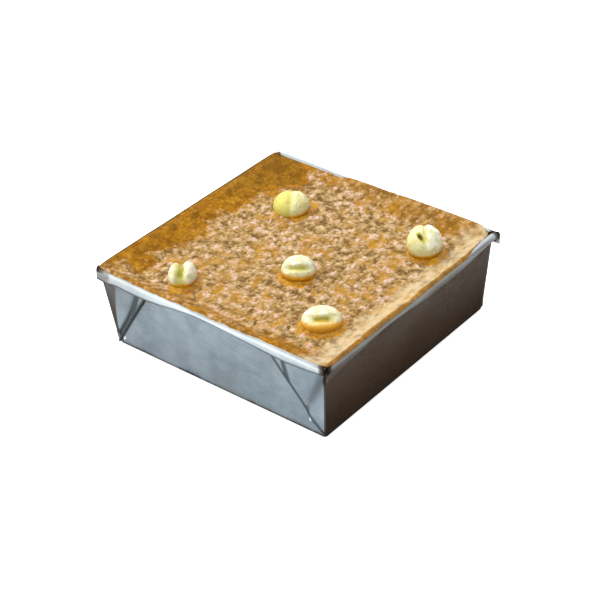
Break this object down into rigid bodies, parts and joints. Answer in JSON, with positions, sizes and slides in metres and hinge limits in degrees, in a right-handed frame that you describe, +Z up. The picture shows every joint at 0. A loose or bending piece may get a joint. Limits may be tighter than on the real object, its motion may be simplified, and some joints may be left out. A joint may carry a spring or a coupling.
{
  "type": "khanom mo kaeng",
  "caption": "Baked coconut and egg custard dessert topped with split lotus seeds, in its own square folded sheet-metal tin with rolled hems.",
  "frame": {"origin": "centre of the tin's flat bottom", "axes": "+Z up; X and Y square to the tin's walls; the walls across Y carry the folded corner flaps"},
  "size_m": [0.13, 0.13, 0.0506],
  "materials": {
    "tinned_sheet": "dull, lightly scratched bare sheet, hand folded",
    "baked_custard": "browned grainy custard crust, moist sheen, deep amber along the edges",
    "boiled_lotus_seed": "soft satin, cream with a green cleft"
  },
  "bodies": {
    "root": {"tin": "tinned_sheet", "custard": "baked_custard", "lotus_seed_left": "boiled_lotus_seed", "lotus_seed_centre": "boiled_lotus_seed", "lotus_seed_right": "boiled_lotus_seed", "lotus_seed_front": "boiled_lotus_seed", "lotus_seed_back": "boiled_lotus_seed"}
  },
  "joints": []
}
